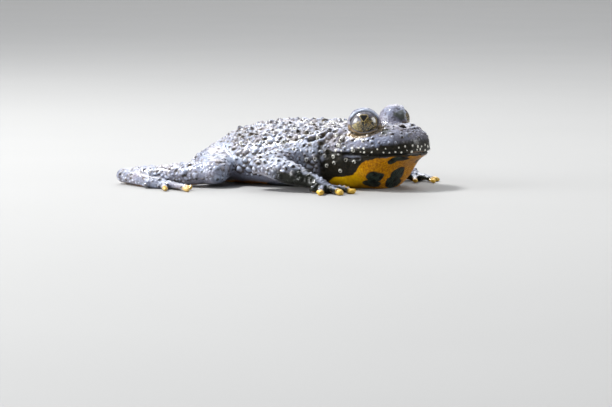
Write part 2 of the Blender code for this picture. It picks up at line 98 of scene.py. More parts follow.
# Limb joints of each side, as (x, distance from the midline, z)
ARM_JOINTS = {
    RIGHT: ((5.8, 6.6, 5.8), (0.8, 15.6, 4.3), (10.6, 14.4, 1.9)),
    LEFT: ((5.8, 6.6, 5.8), (1.8, 15.4, 4.2), (11.2, 13.2, 1.9)),
}
FINGER_TIPS = {
    RIGHT: ((15.4, 11.0), (17.8, 13.0), (17.4, 16.0), (14.8, 18.2)),
    LEFT: ((16.2, 9.4), (18.9, 11.2), (17.6, 13.9), (14.2, 16.0)),
}
LEG_JOINTS = {
    RIGHT: ((-16.2, 4.6, 3.9), (-8.6, 16.8, 2.6), (-25.2, 20.8, 1.4), (-18.0, 23.6, 1.0)),
    LEFT: ((-16.2, 4.6, 3.9), (-8.0, 17.1, 2.6), (-24.6, 20.8, 1.4), (-17.6, 23.8, 1.0)),
}
TOE_TIPS = {
    RIGHT: ((-14.4, 21.9), (-11.6, 22.2), (-8.8, 23.6), (-7.4, 26.2), (-11.0, 27.6)),
    LEFT: ((-14.0, 22.0), (-11.2, 22.4), (-8.4, 23.8), (-7.0, 26.5), (-10.7, 27.8)),
}

# Parts of each limb, as (name, radii from root to end, lift of the middle), and the hands and feet
ARM_PARTS = (("upper_arm", (2.6, 2.5, 2.1), 0.3), ("forearm", (2.0, 2.35, 1.5), 0.1))
LEG_PARTS = (
    ("thigh", (3.4, 3.4, 2.7), 0.3), ("shank", (2.4, 2.4, 1.7), -0.2), ("tarsus", (1.5, 1.45, 1.35), 0.0)
)
LIMB_FLATNESS, PALM_FLATNESS, DIGIT_FLATNESS = 0.82, 0.6, 0.85
TUBE_END_ANGLES = (25, 50, 72, 85)  # of the rings that round off a tube's ends
PALM_LENGTH, PALM_RADII, FINGER_RADII = 2.6, (1.5, 1.8, 1.5), (0.8, 0.52, 0.6)
SOLE_LENGTH, SOLE_RADII, TOE_RADII = 2.6, (1.4, 1.8, 1.6), (0.8, 0.52, 0.54)
PALM_Z, DIGIT_SINK, KNUCKLE_PLACE, KNUCKLE_LIFT = 0.85, 0.05, 0.45, 0.25
ROOT_SPAN, ROOT_BACK = 1.9, 0.7  # spread of the digits' roots over the palm's radius, and their start in it
WEB_BOTTOM, WEB_THICKNESS, WEB_REACH, WEB_HOLLOW = 0.1, 0.55, 0.66, 0.7

# Skin mesh
VOXEL = 0.25
SEED = 11
FORM_ROUNDS, JOINT_ROUNDS, DIGIT_WEIGHT = 10, 40, 0.1
HEAD_START, MOUTH_CORNER, LIP_CORNER = (8.5, 11.5), (11.0, 12.4), (10.6, 11.6)
MIRROR_WARP = 0.25  # how far the left side's features stray from a mirror image

# Warts, as (range of radius, share of points tried, spacing over the radii), and how much of a part has them
BIG_WARTS, MIDDLE_WARTS = ((0.5, 0.78), 0.15, 1.25), ((0.28, 0.46), 0.35, 1.02)
GRAINS = (0.13, 0.22), 0.2, 1.0
HEAD_WARTS, CHEEK_WARTS = 0.09, 0.3
LIMB_WARTS = {
    "upper_arm": 0.9, "forearm": 0.8, "thigh": 0.2, "shank": 0.6, "tarsus": 0.3, "hand": 0.06, "foot": 0.06
}
WART_LIFT, WART_POWER, GRAIN_LIFT = (0.45, 1.05), (0.8, 1.5), (0.16, 0.36)
TINTED_SHARE, SHADED_SHARE, PORED_SHARE = 0.3, 0.5, 0.6
# The side of each wart that gets painted shade, downwards and to the front
SHADED_SIDE = np.array((0.45, 0, -0.85))
PALE_RING_RADIUS = 0.24

# Bulges as (centre, radius, lift) and folds as (line, width, depth), with y as the distance from the midline
BULGES = (
    ((7.1, 9.6, 6.6), 2.0, 0.6),
    ((11.4, 8.2, 8.4), 1.3, 0.25),
    ((20.3, 1.7, 10.7), 1.1, 0.22),
    ((18.4, 3.2, 11.0), 1.2, 0.16),
    ((19.0, 5.4, 9.6), 1.6, -0.25),
)
FOLDS = (
    (((6.3, 8.9, 8.2), (8.1, 8.2, 8.8), (9.1, 7.2, 9.4), (10.4, 7.1, 9.9)), 0.38, 0.55),
    (((8.6, 9.2, 7.4), (8.4, 9.3, 5.4), (9.2, 9.0, 3.4)), 0.4, 0.1),
    (((12.2, 8.3, 5.4), (14.1, 8.2, 5.4), (15.8, 8.0, 5.5)), 0.18, 0.2),
)
# A painted highlight along the fold below the mouth's corner, where the dark lip colour gives way
FOLD_HIGHLIGHT_LINE = ((12.3, 8.3, 5.8), (14.2, 8.25, 5.75), (15.9, 8.1, 5.8))
MOUTH_GROOVE_WIDTH, MOUTH_GROOVE_DEPTH = 0.13, 0.34
LOWER_LID_LINE = ((-3.3, -0.9), (-2.1, -1.9), (-0.8, -2.3), (0.9, -2.25), (2.0, -1.75), (2.5, -0.9))

# Heights of the colours' edges along the head, and their patches as (centre, reach)
LIP_BAND_TOP = ((10.5, 6.5), (14.3, 7.0), (17.1, 7.5), (19.5, 7.85), (21.9, 8.3), (22.9, 8.5), (23.7, 8.6))
THROAT_EDGE = (
    (9.0, 1.2), (10.8, 2.2), (13.5, 2.4), (15.0, 3.4), (15.8, 4.3), (17.2, 5.4), (19.3, 5.9), (23.7, 5.9)
)
DARK_TOP = ((6.5, 5.6), (8.0, 6.3), (10.0, 6.8), (12.0, 6.3), (16.5, 6.3))
PATCHES = (
    ((17.2, -5.35, 2.3), (1.5, 1.7, 1.2)),
    ((16.6, -5.5, 0.7), (1.8, 2.0, 0.95)),
    ((18.7, -0.4, 2.5), (1.5, 2.0, 1.4)),
    ((18.0, -0.8, 1.0), (1.7, 2.3, 1.3)),
    ((21.2, -3.6, 5.6), (1.5, 1.9, 0.65)),
    ((20.3, -4.6, 5.0), (0.7, 0.9, 0.7)),
    ((16.4, 5.2, 1.7), (1.3, 1.7, 1.4)),
    ((20.6, 3.8, 4.6), (0.9, 1.5, 0.7)),
)
# Painted shade on the far eye's lid, as (centre, reach)
FAR_LID_SHADE = ((17.0, 3.2, 12.4), (1.3, 1.4, 1.1))
LOREAL_PATCH = ((18.9, 4.9, 10.2), (1.7, 1.3, 0.7))
BEAK_PATCH = ((23.4, -1, 6.55), (1.2, 1.6, 0.2))
RINGED_SPOTS = (
    (9.4, 9.1, 5.9), (7.8, 9.6, 5.3), (9.8, 8.8, 4.1), (11.1, 8.4, 5.8), (11.2, 8.3, 4.75), (13.2, 8.2, 5.2),
    (12.3, 7.8, 3.6), (14.8, 8.0, 5.0), (6.7, 9.3, 7.6), (11.3, 7.9, 9.3), (12.4, 7.8, 9.2), (12.0, 8.6, 7.7),
    (12.4, 8.3, 8.5), (6.3, 10.4, 5.2),
)
SPOT_RADIUS, SPOT_LIFT = 0.36, 0.16

# Rows of white dots on the upper lip, as (start, spacing, rise), and the dots' size before it is squared
LIP_DOT_ROWS = ((0.0, 1.1, 0.5), (0.5, 1.25, 1.25))
LIP_DOT_SIZE, LIP_DOTS_LEFT_OUT = (0.31, 0.46), 0.1

# Colours
SKIN_COOL, SKIN_WARM = srgb(130, 143, 169), srgb(150, 143, 155)
# SHADE_BROWN is painted shade, in the hollows between warts and on the warts' lower sides
SKIN_DEEP, SKIN_PALE, SHADE_BROWN = srgb(88, 86, 98), srgb(194, 204, 224), srgb(66, 54, 36)
# WART_SHADE_BROWN is painted shade on the lower side of warts
WART_BROWN, WART_SHADE_BROWN = srgb(124, 106, 88), srgb(34, 29, 18)
# SHADE_AND_PORE_BLACK is painted shade in creases and lid lines, and the real black of the pores
DARK_OLIVE, DARK_BROWN, SHADE_AND_PORE_BLACK = srgb(18, 20, 12), srgb(40, 34, 23), srgb(14, 12, 8)
LID_BROWN, BEAK_BROWN, GREY_OLIVE = srgb(122, 98, 58), srgb(150, 122, 98), srgb(58, 62, 48)
# LIGHT_YELLOW is painted light on the throat
YELLOW, ORANGE, LIGHT_YELLOW = srgb(204, 140, 0), srgb(156, 96, 0), srgb(255, 204, 6)
TIP_YELLOW = srgb(226, 182, 70)
PATCH_BLACK, PATCH_GREEN, DOT_WHITE = srgb(10, 12, 9), srgb(44, 56, 48), srgb(240, 238, 226)
IRIS_DARK, IRIS_GOLD, IRIS_PALE = srgb(8, 7, 3), srgb(116, 94, 40), srgb(214, 198, 138)
# IRIS_GREY and IRIS_SLATE are the painted reflection of the sky on the iris
IRIS_GREY, IRIS_SLATE, IRIS_RIM = srgb(98, 98, 112), srgb(62, 60, 70), srgb(186, 164, 104)
PUPIL_BLACK = srgb(3, 3, 4)
FLOOR_DARK, FLOOR_LIGHT = srgb(152, 151, 149), srgb(157, 156, 154)

# Layers of colour from the bottom up, as (mask, share, colour), and how wet the dry parts are
# The warts' domes are painted paler as a painted highlight, and the pale mask adds painted light; the brown
# tint is the skin's own
WART_LAYERS = (("wart", 0.3, SKIN_PALE), ("pale", 0.75, SKIN_PALE), ("tint", 0.55, WART_BROWN))
# Painted shade in the hollows between warts and on the warts' lower sides, and a painted highlight on the
# upper lid's edge
SHADE_LAYERS = (
    ("hollow", 0.85, SHADE_BROWN), ("wart_shade", 0.9, WART_SHADE_BROWN), ("limb_under", 1, DARK_OLIVE),
    ("snout", 0.5, DARK_BROWN), ("olive", 0.85, GREY_OLIVE), ("lower_lid", 0.95, LID_BROWN),
    ("lid_highlight", 1, SKIN_PALE),
)
# The creases and the lid lines are painted shade; the pores are the skin's own black
TOP_LAYERS = (
    ("beak", 0.7, BEAK_BROWN), ("crease_shade", 1, SHADE_AND_PORE_BLACK), ("lid_shade_line", 1, SHADE_AND_PORE_BLACK), ("tips", 0.8, TIP_YELLOW),
    ("ring", 0.8, DOT_WHITE), ("white", 1, DOT_WHITE), ("pore", 0.85, SHADE_AND_PORE_BLACK),
)
BACK_WETNESS, BELLY_WETNESS, DRY_PARTS = 0.9, 0.05, (("head", 0.5), ("lip", 0.4), ("limb_under", 0.4))

# Camera, lights as (name, place, size, power, colour), sky and floor, in metres and watts
VIEW_AZIMUTH, VIEW_ELEVATION, VIEW_DISTANCE, LENS = math.radians(35), math.radians(6), 0.454, 150
AIM_RIGHT, AIM_UP = -0.71, -3.79
LIGHTS = (
    ("key", (-0.25, -0.09, 0.42), 0.1, 3.6, (0.98, 0.99, 1)),
    ("top", (-0.35, 0.5, 1.3), 1.8, 11, (0.92, 0.96, 1)),
    ("back", (-1.0, 1.4, 1.0), 1.2, 12, (1, 1, 1)),
    ("fill", (-0.4, -0.4, 0.2), 0.3, 3.0, (0.96, 0.98, 1)),
    ("low", (-0.05, -0.5, 0.1), 0.3, 0.6, (1, 1, 1)),
    ("rim", (0.42, 0.3, 0.2), 0.25, 1.2, (1, 1, 1)),
)
SKY_COLOUR, SKY_STRENGTH = (0.86, 0.9, 1, 1), 0.22
FLOOR_CORNERS = ((-2, -2, 0), (2, -2, 0), (2, 2, 0), (-2, 2, 0))


def curve(rows, x):
    """The value at x of a smooth curve through rows of (place, value)."""
    if x <= rows[0][0]:
        return rows[0][1]
    if x >= rows[-1][0]:
        return rows[-1][1]
    i = next(k for k in range(len(rows) - 1) if x <= rows[k + 1][0])
    (x0, v0), (x1, v1) = rows[i], rows[i + 1]
    before, after = rows[max(i - 1, 0)], rows[min(i + 2, len(rows) - 1)]
    slope0 = (v1 - before[1]) / (x1 - before[0])
    slope1 = (after[1] - v0) / (after[0] - x0)
    run, t = x1 - x0, (x - x0) / (x1 - x0)
    return (
        v0 * (2 * t**3 - 3 * t**2 + 1)
        + v1 * (3 * t**2 - 2 * t**3)
        + slope0 * run * (t**3 - 2 * t**2 + t)
        + slope1 * run * (t**3 - t**2)
    )


def taper(x, start, tip, bluntness=2.0):
    """1 up to start, then falling along a round end to 0 at tip."""
    t = min(max((x - start) / (tip - start), 0.0), 1.0)
    return math.sqrt(1 - t**bluntness)


def blend(a, b, share):
    return a + (b - a) * share


def bulge(angle, roundness):
    """(cosine, sine) of a superellipse at an angle."""
    c, s = math.cos(angle), math.sin(angle)
    return math.copysign(abs(c) ** (2 / roundness), c), math.copysign(abs(s) ** (2 / roundness), s)


def round_stations(start, tip, count):
    """Places from start towards tip, closer together near the tip, and stopping just short of it."""
    shares = [k / count for k in range(count)] + [1 - 0.4 / count]
    return [blend(start, tip, math.sin(0.5 * math.pi * share)) for share in shares]


def turn(sides):
    return [2 * math.pi * k / sides for k in range(sides)]


def mirrored(place, side):
    x, y, z = place
    return x, side * y, z


def trunk_ring(x):
    half_width = curve(TRUNK_HALF_WIDTH, x) * taper(x, RUMP_SIDES_X, RUMP_X)
    top = blend(RUMP_Z, curve(TRUNK_TOP, x), taper(x, RUMP_TOP_X, RUMP_X))
    bottom = blend(RUMP_Z, BELLY_Z, taper(x, RUMP_UNDER_X, RUMP_X))
    widest = curve(TRUNK_WIDEST, x)
    ring = []
    for angle in turn(TRUNK_SIDES):
        across, up = bulge(angle, BACK_ROUNDNESS if math.sin(angle) > 0 else BELLY_ROUNDNESS)
        height = top - widest if up > 0 else widest - bottom
        ring.append(Vector((x, half_width * across, widest + up * height)))
    return ring


def mouth_ring(x, half_width, lip, cheek, far, roundness, side):
    """From lip to lip over the roof of the head, or from the right under the throat."""
    inside = side * LIP_SHARE * half_width
    ring = [Vector((x, inside, lip))]
    for k in range(HEAD_ARC):
        across, out = bulge(math.pi * k / (HEAD_ARC - 1), roundness)
        ring.append(Vector((x, side * half_width * across, blend(cheek, far, max(out, 0.0)))))
    return ring + [Vector((x, -inside, lip))]


def head_half_width(x):
    return curve(HEAD_HALF_WIDTH, x) * taper(x, SNOUT_SIDES_X, SNOUT_X, SNOUT_BLUNTNESS)


def head_ring(x):
    """The upper head, let down a little into the lower jaw."""
    top = blend(SNOUT_Z, curve(HEAD_TOP, x), taper(x, SNOUT_TOP_X, SNOUT_X, SNOUT_BLUNTNESS))
    front = taper(x, SNOUT_LIP_X, SNOUT_X)
    lip, cheek = (blend(SNOUT_Z, MOUTH_Z + rise, front) for rise in (-LIP_OVERLAP, LIP_HEIGHT))
    return mouth_ring(x, head_half_width(x), lip, cheek, top, HEAD_ROUNDNESS, LEFT)


def jaw_ring(x):
    """The lower jaw, let up a little into the upper head."""
    half_width = (curve(HEAD_HALF_WIDTH, x) - JAW_INSET) * taper(x, CHIN_SIDES_X, CHIN_X, SNOUT_BLUNTNESS)
    front = taper(x, CHIN_UNDER_X, CHIN_X)
    bottom = blend(MOUTH_Z, curve(THROAT_BOTTOM, x), front)
    lip, cheek = MOUTH_Z + LIP_OVERLAP * front, MOUTH_Z - LIP_OVERLAP * front
    return mouth_ring(x, half_width, lip, cheek, bottom, THROAT_ROUNDNESS, RIGHT)


def add_loft(shape, rings):
    """Adds a closed skin through the rings, with a flat face at each end."""
    loops = [[shape.verts.new(point) for point in ring] for ring in rings]
    for a, b in zip(loops, loops[1:]):
        for k in range(len(a)):
            after = (k + 1) % len(a)
            shape.faces.new((a[k], a[after], b[after], b[k]))
    shape.faces.new(loops[0])
    shape.faces.new(loops[-1])


def smooth_path(points, radii, steps):
    """(point, radius) pairs along a smooth curve through the points."""
    axes = [[(k, point[axis]) for k, point in enumerate(points)] for axis in range(3)]
    spread = (len(points) - 1) / (len(radii) - 1)
    widths = [(k * spread, radius) for k, radius in enumerate(radii)]
    places = [(len(points) - 1) * k / steps for k in range(steps + 1)]
    return [(Vector([curve(axis, t) for axis in axes]), curve(widths, t)) for t in places]


def add_tube(shape, points, radii, flatness=1.0, sides=24, steps=12):
    """Adds a round-ended tube along a smooth curve."""
    path = smooth_path(points, radii, steps)
    stations = [(k, 0.0, radius) for k, (_, radius) in enumerate(path)]
    for angle in TUBE_END_ANGLES:
        reach, size = math.sin(math.radians(angle)), math.cos(math.radians(angle))
        first, last = path[0][1], path[-1][1]
        stations = [(0, -first * reach, first * size)] + stations + [(steps, last * reach, last * size)]
    rings = []
    for k, shift, radius in stations:
        along = (path[min(k + 1, steps)][0] - path[max(k - 1, 0)][0]).normalized()
        across = along.cross(UP).normalized()
        above = across.cross(along)
        centre = path[k][0] + along * shift
        rings.append([
            centre + radius * (across * math.cos(a) + above * flatness * math.sin(a)) for a in turn(sides)
        ])
    add_loft(shape, rings)


def limb_paths(side):
    """(points, radii) of each limb part, from its root joint to its end."""
    paths = {}
    for joints, parts in ((ARM_JOINTS, ARM_PARTS), (LEG_JOINTS, LEG_PARTS)):
        line = [Vector(mirrored(joint, side)) for joint in joints[side]]
        for a, b, (word, radii, lift) in zip(line, line[1:], parts):
            paths[word] = (a, (a + b) / 2 + lift * UP, b), radii
    return paths


def digit_paths(side, root, tips, length, palm_radii, digit_radii):
    """The path of the palm or sole, and (start, knuckle, end) of each digit."""
    ends = [Vector((x, side * y, digit_radii[-1] * DIGIT_FLATNESS - DIGIT_SINK)) for x, y in tips]
    middle = sum(ends, Vector()) / len(ends)
    forward = Vector((middle.x - root.x, middle.y - root.y, 0)).normalized()
    outward = side * forward.cross(UP)
    palm_end = Vector((root.x, root.y, PALM_Z)) + forward * length
    digits = []
    for k, end in enumerate(ends):
        place = k / (len(ends) - 1) - 0.5
        start = palm_end + outward * place * ROOT_SPAN * palm_radii[-1] - forward * (ROOT_BACK + abs(place))
        digits.append((start, start.lerp(end, KNUCKLE_PLACE) + KNUCKLE_LIFT * UP, end))
    return (root, (root + palm_end) / 2, palm_end), digits


def hand_and_foot(side):
    """(palm path, digit paths, palm radii, digit radii) of the hand and of the foot."""
    paths, found = limb_paths(side), {}
    for word, root, tips, length, palm_radii, digit_radii in (
        ("hand", "forearm", FINGER_TIPS, PALM_LENGTH, PALM_RADII, FINGER_RADII),
        ("foot", "tarsus", TOE_TIPS, SOLE_LENGTH, SOLE_RADII, TOE_RADII),
    ):
        digits = digit_paths(side, paths[root][0][-1], tips[side], length, palm_radii, digit_radii)
        found[word] = (*digits, palm_radii, digit_radii)
    return found


def add_web(shape, toe_a, toe_b):
    """Adds a flat web between two toes, with a hollow front edge."""
    root = (toe_a[0] + toe_b[0]) / 2
    a, b = root.lerp(toe_a[-1], WEB_REACH), root.lerp(toe_b[-1], WEB_REACH)
    hollow = root.lerp((a + b) / 2, WEB_HOLLOW)
    corners = [root, a, a.lerp(hollow, 0.6), hollow, b.lerp(hollow, 0.6), b]
    levels = (WEB_BOTTOM, WEB_BOTTOM + WEB_THICKNESS)
    add_loft(shape, [[Vector((p.x, p.y, z)) for p in corners] for z in levels])


def eye_matrix(side, forward, up):
    """Places +Z along a line of sight out of an eye, +X level and to the front, and +Y up."""
    level = math.cos(up)
    axis = Vector((math.sin(forward) * level, side * math.cos(forward) * level, math.sin(up)))
    across = side * axis.cross(UP).normalized()
    turned = Matrix((across, -side * axis.cross(across), axis)).transposed().to_4x4()
    return Matrix.Translation(mirrored(EYE_CENTRE, side)) @ turned


def body_forms():
    """All forms of the body, as overlapping closed shapes in one mesh."""
    shape = bmesh.new()
    trunk_end, head_end = NECK_X + FORM_OVERLAP, NECK_X - FORM_OVERLAP
    add_loft(shape, [trunk_ring(x) for x in round_stations(trunk_end, RUMP_X, TRUNK_STATIONS)])
    add_loft(shape, [head_ring(x) for x in round_stations(head_end, SNOUT_X, HEAD_STATIONS)])
    add_loft(shape, [jaw_ring(x) for x in round_stations(head_end, CHIN_X, HEAD_STATIONS)])
    for side in SIDE_WORDS:
        lid = bmesh.ops.create_uvsphere(shape, u_segments=48, v_segments=24, radius=LID_RADIUS)["verts"]
        bmesh.ops.translate(shape, verts=lid, vec=mirrored(EYE_CENTRE, side))
        for points, radii in limb_paths(side).values():
            add_tube(shape, points, radii, LIMB_FLATNESS)
        for palm, digits, palm_radii, digit_radii in hand_and_foot(side).values():
            add_tube(shape, palm, palm_radii, PALM_FLATNESS)
            for digit in digits:
                add_tube(shape, digit, digit_radii, DIGIT_FLATNESS, 16, 8)
        toes = hand_and_foot(side)["foot"][1]
        for toe_a, toe_b in zip(toes, toes[1:]):
            add_web(shape, toe_a, toe_b)
    bmesh.ops.recalc_face_normals(shape, faces=shape.faces)
    mesh = bpy.data.meshes.new("body_forms")
    shape.to_mesh(mesh)
    shape.free()
    return mesh


def new_object(name, data):
    obj = bpy.data.objects.new(name, data)
    bpy.context.scene.collection.objects.link(obj)
    return obj


def remade(mesh, kind, **settings):
    """The mesh after one modifier."""
    obj = new_object("workpiece", mesh)
    step = obj.modifiers.new(kind.lower(), kind)
    for name, value in settings.items():
        setattr(step, name, value)
    graph = bpy.context.evaluated_depsgraph_get()
    result = bpy.data.meshes.new_from_object(obj.evaluated_get(graph))
    bpy.data.objects.remove(obj)
    return result


def read(items, name, width, kind=float):
    """One attribute of all items of a mesh, a row for each."""
    flat = np.empty(width * len(items), kind)
    items.foreach_get(name, flat)
    return flat.reshape(-1, width)


def set_points(mesh, points):
    mesh.vertices.foreach_set("co", points.astype(np.float32).ravel())
    mesh.update()


def neighbour_mean(values, edges):
    """The mean over each point's neighbours."""
    a, b = edges.T
    count = np.bincount(np.concatenate((a, b)), minlength=len(values))
    columns = values.reshape(len(values), -1)
    sums = [np.bincount(a, c[b], len(values)) + np.bincount(b, c[a], len(values)) for c in columns.T]
    return (np.stack(sums, 1) / count[:, None]).reshape(values.shape)


def relax(points, edges, weight, rounds):
    """Moves each point towards its neighbours by half of its weight, in rounds."""
    for _ in range(rounds):
        points = points + 0.5 * weight[:, None] * (neighbour_mean(points, edges) - points)
    return points


def ease(low, high, x):
    t = np.clip((x - low) / (high - low), 0, 1)
    return t * t * (3 - 2 * t)


def hump(x, width):
    """1 at 0, falling smoothly on both sides."""
    return np.exp(-(x / width) ** 2)


def apart(points, centre, reach=1.0):
    """Distance of each point to a centre, over its reach along each axis."""
    return np.linalg.norm((points - np.array(centre)) / np.array(reach), axis=1)


def nearness(points, path, radii):
    """(distance over radius, place from 0 to 1) of each point on a limb's line, with far ones left at 9."""
    line = smooth_path(path, radii, 8)
    middles = np.array([place for place, _ in line])
    margin = 3.2 * max(radii)
    close = np.all((points > middles.min(0) - margin) & (points < middles.max(0) + margin), axis=1)
    some = points[close]
    best, place = np.full(len(some), 9.0), np.zeros(len(some))
    for k in range(8):
        a, b, radius_a, radius_b = middles[k], middles[k + 1], line[k][1], line[k + 1][1]
        t = np.clip((some - a) @ (b - a) / ((b - a) @ (b - a)), 0, 1)
        ratio = apart(some - a, t[:, None] * (b - a)) / (radius_a + t * (radius_b - radius_a))
        closer = ratio < best
        best = np.where(closer, ratio, best)
        place = np.where(closer, (k + t) / 8, place)
    ratios, places = np.full(len(points), 9.0), np.zeros(len(points))
    ratios[close], places[close] = best, place
    return ratios, places


def noise(points, scale, seed):
    """Smooth value noise from -1 to 1, with features about scale wide."""
    table = np.random.default_rng(seed).uniform(-1, 1, (32, 32, 32))
    spots = points / scale
    cell = np.floor(spots).astype(int)
    f = spots - cell
    f = f * f * (3 - 2 * f)
    total = np.zeros(len(points))
    for corner in range(8):
        step = (corner & 1, corner >> 1 & 1, corner >> 2 & 1)
        i, j, k = ((cell + step) % 32).T
        weights = [f[:, axis] if step[axis] else 1 - f[:, axis] for axis in range(3)]
        total += table[i, j, k] * weights[0] * weights[1] * weights[2]
    return total


def noise_vector(points, scale, seed):
    return np.stack([noise(points, scale, seed + axis) for axis in range(3)], 1)


def moved(points, matrix):
    matrix = np.array(matrix)
    return points @ matrix[:3, :3].T + matrix[:3, 3]


def near_line(points, line):
    """Distance of each point to a line of points."""
    best = np.full(len(points), 1e9)
    for a, b in zip(line, line[1:]):
        a, b = np.array(a, float), np.array(b, float)
        t = np.clip((points - a) @ (b - a) / ((b - a) @ (b - a)), 0, 1)
        best = np.minimum(best, apart(points - a, t[:, None] * (b - a)))
    return best


def base_skin():
    """The forms grown into one smooth closed mesh, unwrapped and refined."""
    mesh = remade(body_forms(), "REMESH", mode="VOXEL", voxel_size=VOXEL, adaptivity=0)
    points, edges = read(mesh.vertices, "co", 3), read(mesh.edges, "vertices", 2, np.int64)
    slender = np.ones(len(points))
    joints = np.zeros(len(points))
    for side in SIDE_WORDS:
        for _, digits, _, radii in hand_and_foot(side).values():
            for digit in digits:
                slender = np.minimum(slender, ease(1.2, 3.0, nearness(points, digit, radii)[0]))
        for word in ("upper_arm", "thigh"):
            path, radii = limb_paths(side)[word]
            distance = apart(points, path[0])
            joints = np.maximum(joints, ease(2.6 * radii[0], 1.2 * radii[0], distance))
    points = relax(points, edges, np.maximum(slender, DIGIT_WEIGHT), FORM_ROUNDS)
    points = relax(points, edges, joints * slender, JOINT_ROUNDS)
    set_points(mesh, points)
    unwrap(mesh)
    return remade(mesh, "SUBSURF", levels=1, render_levels=1)


def body_parts(points):
    """How strongly each limb part claims each point, from 0 to 1."""
    claims = {}

    def claim(word, strength):
        claims[word] = np.maximum(claims.get(word, 0), strength)

    for side in SIDE_WORDS:
        for word, (path, radii) in limb_paths(side).items():
            claim(word, ease(1.5, 1.05, nearness(points, path, radii)[0]))
        for word, (palm, digits, palm_radii, digit_radii) in hand_and_foot(side).items():
            claim(word, ease(1.5, 1.1, nearness(points, palm, palm_radii)[0]))
            for digit in digits:
                ratio, place = nearness(points, digit, digit_radii)
                claim(word, ease(1.6, 1.2, ratio))
                claim(word + "_tips", ease(1.6, 1.2, ratio) * ease(0.86, 0.98, place))
    return claims


def spread(points, candidates, radii, spacing, taken):
    """The candidates that keep clear of each other and of those taken, as (index, radius) pairs."""
    cell = 2 * spacing * max(radii.max(), max((r for _, r in taken), default=0.0))
    grid, chosen = {}, []
    for rank, (index, radius) in enumerate([*taken, *zip(candidates, radii[candidates])]):
        place = points[index].tolist()
        a, b, c = (math.floor(part / cell) for part in place)
        if rank >= len(taken):
            steps = [(a + i, b + j, c + k) for i in (-1, 0, 1) for j in (-1, 0, 1) for k in (-1, 0, 1)]
            if any(
                sum((p - q) ** 2 for p, q in zip(place, spot)) < (spacing * (radius + other)) ** 2
                for step in steps for spot, other in grid.get(step, ())
            ):
                continue
            chosen.append((index, radius))
        grid.setdefault((a, b, c), []).append((place, radius))
    return chosen


def band(x, rows):
    """A smooth curve through rows, for many places at once."""
    steps = np.linspace(rows[0][0], rows[-1][0], 80)
    return np.interp(x, steps, [curve(rows, s) for s in steps])


class Survey:
    """Where each point of the smooth skin lies, how it faces, and what part it belongs to."""

    def __init__(self, mesh):
        points, normals = read(mesh.vertices, "co", 3), read(mesh.vertex_normals, "vector", 3)
        x, y, z = points.T
        claims = body_parts(points)
        self.points, self.normals, self.claims = points, normals, claims
        self.x, self.z, self.facing = x, z, normals[:, 2]
        self.warp = noise_vector(points, 3.0, 40) * MIRROR_WARP
        self.folded = np.stack([x, np.abs(y), z], 1) + ease(-0.5, 0.5, y)[:, None] * self.warp
        self.wobbly = points + noise_vector(points, 0.6, 50) * 0.2
        self.limbs = np.maximum.reduce([claims[word] for word in LIMB_WARTS])
        self.body = 1 - self.limbs
        self.head = ease(*HEAD_START, x) * (1 - claims["hand"]) * (1 - claims["forearm"])
        self.up = ease(-0.8, -0.1, self.facing)
        self.flat = 1 - ease(-0.75, -0.4, self.facing)
        self.tilt = self.facing + 0.25 * self.noise(1.2, 18)

        eye_near = np.minimum.reduce([apart(points, mirrored(EYE_CENTRE, side)) for side in SIDE_WORDS])
        self.lid_zone = ease(LID_RADIUS + 0.5, LID_RADIUS, eye_near)
        self.mouth = z - MOUTH_Z - 0.12 * self.noise(2.5, 3)
        self.in_mouth = ease(*MOUTH_CORNER, x) * self.body
        lip_top = band(x, LIP_BAND_TOP) - z + 0.22 * self.noise(0.9, 4) + 0.2 * self.noise(0.35, 26)
        lip = ease(-0.25 - 0.35 * ease(18.0, 22.0, x), 0.3, lip_top)
        self.lip = lip * ease(-0.05, 0.1, self.mouth) * ease(*LIP_CORNER, x) * self.body

        self.tree = KDTree(len(points))
        for index, point in enumerate(points):
            self.tree.insert(point, index)
        self.tree.balance()

    def noise(self, scale, seed):
        return noise(self.points, scale, seed)

    def nearest(self, place):
        return self.tree.find(place)[1]

    def around(self, index, reach):
        """The points within reach of a point."""
        return np.array([k for _, k, _ in self.tree.find_range(self.points[index], reach)])


def broad_forms(at):
    """The lift of bulges, folds, mouth and lips, and the mask of the creases, where shade is painted into the
    fold grooves and the mouth line.
    """
    height = 0.14 * at.noise(2.4, 1) * at.up + 0.1 * at.noise(5.0, 2)
    height *= 1 - 0.6 * at.head
    for centre, radius, lift in BULGES:
        away = apart(at.folded, centre) / radius
        height += lift * np.exp(-1.5 * away**2)
    crease_shade = np.zeros(len(at.points))
    for line, width, depth in FOLDS:
        away = near_line(at.folded, line) + 0.12 * at.noise(0.8, 5)
        groove = hump(away, width)
        height += depth * (0.55 * hump(away - 2.2 * width, 1.3 * width) - groove)
        crease_shade = np.maximum(crease_shade, groove)
    groove = hump(at.mouth, MOUTH_GROOVE_WIDTH) * at.in_mouth
    height += 0.14 * hump(at.mouth - 0.42, 0.3) * at.in_mouth - MOUTH_GROOVE_DEPTH * groove
    height += 0.08 * hump(at.mouth + 0.4, 0.25) * at.in_mouth
    return height, np.maximum(crease_shade, groove)


def wart_amount(at):
    """How densely warts cover the skin at each point, from 0 to 1."""
    amount = at.up * (1 - at.head) + HEAD_WARTS * at.head * at.up
    for word, share in LIMB_WARTS.items():
        amount = amount + at.claims[word] * (share - amount)
    cheek = at.head * ease(15.0, 12.0, at.x) * ease(6.8, 8.2, at.z)
    amount *= 0.75 + 0.5 * at.noise(3.5, 29)
    amount = np.maximum(amount, CHEEK_WARTS * cheek) * (1 - at.lid_zone) * (1 - at.lip) * (1 - at.flat)
    return amount * (1 - ease(7.0, 8.5, at.x) * ease(6.8, 5.8, at.z) * at.body)


